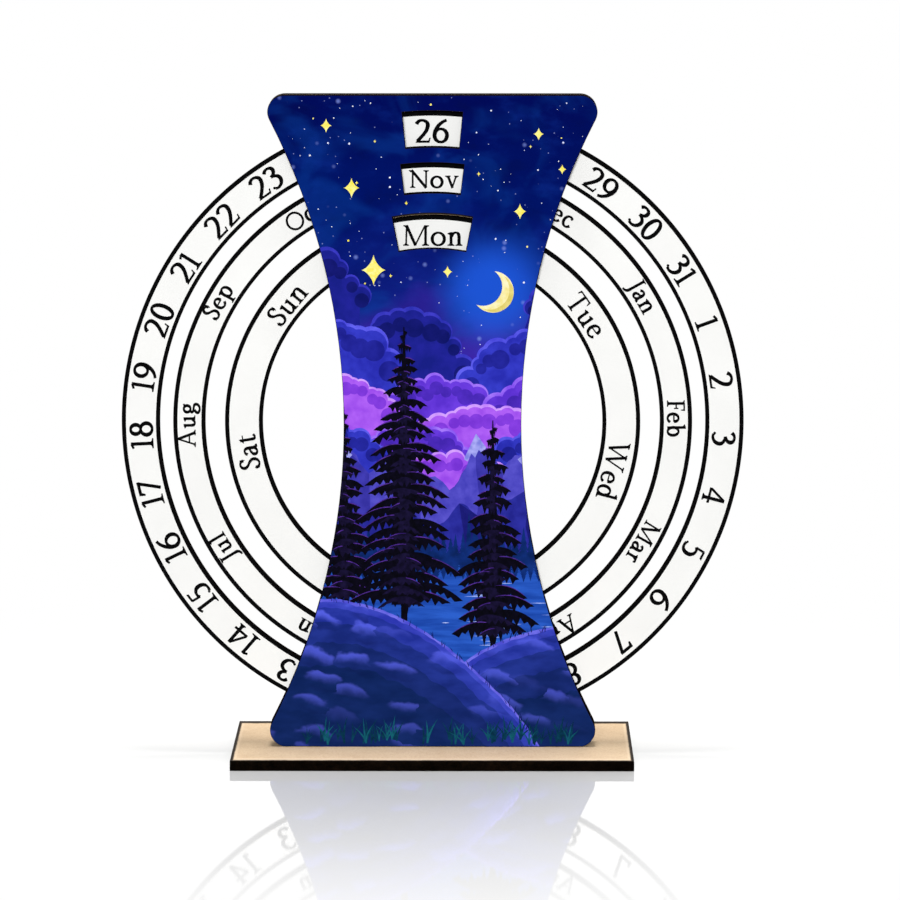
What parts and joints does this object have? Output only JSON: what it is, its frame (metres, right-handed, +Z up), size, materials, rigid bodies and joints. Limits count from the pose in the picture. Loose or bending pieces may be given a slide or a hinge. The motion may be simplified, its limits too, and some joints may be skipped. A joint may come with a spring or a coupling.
{
  "type": "perpetual desk calendar",
  "caption": "Perpetual desk calendar: three lettered rings turn between two hourglass panels with viewing windows, standing on a flat base.",
  "frame": {"origin": "middle of the base's underside", "axes": "+Z up, +X to the right as seen from the front, and the windows face -Y"},
  "size_m": [0.186, 0.065, 0.199],
  "materials": {
    "base_board": "laser-cut board with charred edges",
    "printed_board": "night sky printed on board",
    "bare_board": "bare laser-cut board",
    "core_board": "bare laser-cut board",
    "white_board": "white-coated board with black print"
  },
  "bodies": {
    "stand": {"base": "base_board", "front_panel": "printed_board", "back_panel": "bare_board", "crown_spacer": "core_board", "foot_spacer": "core_board", "upper_date_guide": "core_board", "lower_date_guide": "core_board", "upper_month_guide": "core_board", "lower_month_guide": "core_board", "hub": "core_board"},
    "date_ring": {"date_ring": "white_board"},
    "month_ring": {"month_ring": "white_board"},
    "weekday_ring": {"weekday_ring": "white_board"}
  },
  "joints": [
    {"name": "date_turn", "type": "hinge", "parent": "stand", "child": "date_ring", "pos_m": [0, -0.005, 0.101], "axis": [0, 1, 0], "continuous": true},
    {"name": "month_turn", "type": "hinge", "parent": "stand", "child": "month_ring", "pos_m": [0, -0.005, 0.101], "axis": [0, 1, 0], "continuous": true},
    {"name": "weekday_turn", "type": "hinge", "parent": "stand", "child": "weekday_ring", "pos_m": [0, -0.005, 0.101], "axis": [0, 1, 0], "continuous": true}
  ]
}
